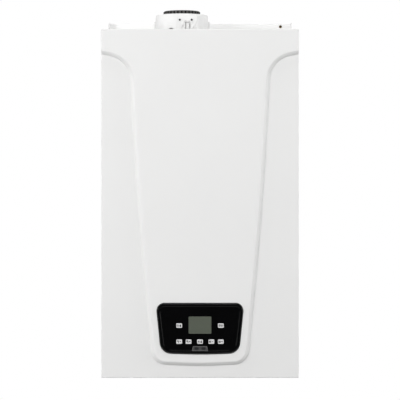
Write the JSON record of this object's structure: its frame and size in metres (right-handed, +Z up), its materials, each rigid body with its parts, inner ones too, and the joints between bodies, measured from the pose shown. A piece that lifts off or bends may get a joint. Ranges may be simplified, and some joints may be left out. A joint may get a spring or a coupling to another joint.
{
  "type": "condensing gas boiler",
  "caption": "Wall-hung condensing gas boiler: white casing with a raised tapering field, black control panel with display and keys, concentric flue collar on top and pipe stubs below.",
  "frame": {"origin": "on the wall plane, midway between the two hanging slots", "axes": "+Z up, +Y into the wall, +X to the right seen from the front"},
  "size_m": [0.4, 0.299, 0.7687],
  "materials": {
    "painted_white": "satin",
    "zinc_sheet": "satin",
    "white_plastic": "satin",
    "black_rubber": "matte",
    "grey_rubber": "matte",
    "gloss_black": "gloss",
    "display": "gloss",
    "button_grey": "satin",
    "cover_grey": "matte",
    "black_plastic": "matte",
    "grey_plastic": "matte",
    "red_plastic": "satin",
    "blue_plastic": "satin",
    "steel": "brushed",
    "yellow_zinc": "satin",
    "aluminium": "cast",
    "brass": "satin",
    "copper": "satin",
    "red_paint": "satin",
    "board_green": "matte",
    "clear": "gloss",
    "needle_red": "matte",
    "ceramic": "matte"
  },
  "bodies": {
    "chassis": {"rear_frame": "painted_white", "earth_screw": "yellow_zinc", "top_panel": "painted_white", "bottom_tray": "zinc_sheet", "flue_adapter": "white_plastic", "test_caps": "black_plastic", "flue_gasket": "black_rubber", "flue_screws": "steel", "flue_pipe": "white_plastic", "flue_seal": "black_rubber", "heat_exchanger": "steel", "door_nuts": "steel", "exchanger_bracket": "zinc_sheet", "exchanger_coil": "steel", "burner_door": "aluminium", "door_seals": "grey_rubber", "burner_tube": "steel", "electrodes": "ceramic", "spark_generator": "black_plastic", "fan_housing": "aluminium", "fan_motor": "black_plastic", "mixer": "black_plastic", "air_silencer": "grey_plastic", "gas_connection": "steel", "gas_valve": "aluminium", "gas_pipe": "steel", "water_connections": "brass", "flow_group": "black_plastic", "diverter_motor": "grey_plastic", "return_group": "black_plastic", "heating_pipes": "copper", "plate_exchanger": "steel", "pump_housing": "black_plastic", "pump_motor": "grey_plastic", "water_fittings": "brass", "expansion_vessel": "red_paint", "condensate_drain": "grey_plastic", "pressure_gauge": "black_plastic", "gauge_lens": "clear", "cable_grommet": "black_rubber"},
    "cover": {"front_cover": "painted_white", "cover_screws": "steel"},
    "control_unit": {"control_box": "black_plastic", "fascia": "gloss_black", "display": "display", "circuit_boards": "board_green", "service_cover": "cover_grey"},
    "fan_rotor": {"fan_impeller": "black_plastic"},
    "pump_rotor": {"pump_rotor": "black_plastic"},
    "diverter_spindle": {"diverter_spindle": "steel"},
    "safety_knob": {"safety_knob": "red_plastic"},
    "filling_knob": {"filling_knob": "blue_plastic"},
    "gauge_needle": {"gauge_needle": "needle_red"},
    "button_upper_left": {"button_upper_left": "button_grey"},
    "button_upper_right": {"button_upper_right": "button_grey"},
    "button_lower_1": {"button_lower_1": "button_grey"},
    "button_lower_2": {"button_lower_2": "button_grey"},
    "button_lower_3": {"button_lower_3": "button_grey"},
    "button_lower_4": {"button_lower_4": "button_grey"},
    "button_lower_5": {"button_lower_5": "button_grey"}
  },
  "joints": [
    {"name": "cover_pull", "type": "slide", "parent": "chassis", "child": "cover", "axis": [0, -1, 0], "range_m": [0, 0.5]},
    {"name": "control_tilt", "type": "hinge", "parent": "chassis", "child": "control_unit", "pos_m": [0, -0.272, -0.6935], "axis": [1, 0, 0], "range_deg": [0, 85]},
    {"name": "button_upper_left_press", "type": "slide", "parent": "control_unit", "child": "button_upper_left", "axis": [0, 1, 0], "range_m": [0, 0.0012], "stiffness_N_per_m": 500},
    {"name": "button_upper_right_press", "type": "slide", "parent": "control_unit", "child": "button_upper_right", "axis": [0, 1, 0], "range_m": [0, 0.0012], "stiffness_N_per_m": 500},
    {"name": "button_lower_1_press", "type": "slide", "parent": "control_unit", "child": "button_lower_1", "axis": [0, 1, 0], "range_m": [0, 0.0012], "stiffness_N_per_m": 500},
    {"name": "button_lower_2_press", "type": "slide", "parent": "control_unit", "child": "button_lower_2", "axis": [0, 1, 0], "range_m": [0, 0.0012], "stiffness_N_per_m": 500},
    {"name": "button_lower_3_press", "type": "slide", "parent": "control_unit", "child": "button_lower_3", "axis": [0, 1, 0], "range_m": [0, 0.0012], "stiffness_N_per_m": 500},
    {"name": "button_lower_4_press", "type": "slide", "parent": "control_unit", "child": "button_lower_4", "axis": [0, 1, 0], "range_m": [0, 0.0012], "stiffness_N_per_m": 500},
    {"name": "button_lower_5_press", "type": "slide", "parent": "control_unit", "child": "button_lower_5", "axis": [0, 1, 0], "range_m": [0, 0.0012], "stiffness_N_per_m": 500},
    {"name": "fan_spin", "type": "hinge", "parent": "chassis", "child": "fan_rotor", "pos_m": [0.142, -0.225, -0.2535], "axis": [0, 0, 1], "continuous": true},
    {"name": "pump_spin", "type": "hinge", "parent": "chassis", "child": "pump_rotor", "pos_m": [0.108, -0.118, -0.5675], "axis": [0, 1, 0], "continuous": true},
    {"name": "diverter_stroke", "type": "slide", "parent": "chassis", "child": "diverter_spindle", "axis": [0, 1, 0], "range_m": [0, 0.007]},
    {"name": "safety_knob_turn", "type": "hinge", "parent": "chassis", "child": "safety_knob", "pos_m": [0.166, -0.085, -0.6615], "axis": [1, 0, 0], "range_deg": [0, 90]},
    {"name": "filling_knob_turn", "type": "hinge", "parent": "chassis", "child": "filling_knob", "pos_m": [0.0975, -0.085, -0.7235], "axis": [0, 0, 1], "range_deg": [0, 90]},
    {"name": "gauge_needle_turn", "type": "hinge", "parent": "chassis", "child": "gauge_needle", "pos_m": [-0.15, -0.186, -0.7145], "axis": [0, 0, 1], "range_deg": [0, 240], "stiffness_Nm_per_rad": 0.0004}
  ],
  "couplings": [
    {"joint": "control_tilt", "follows": "cover_pull", "rad_per_m": 2.966}
  ]
}
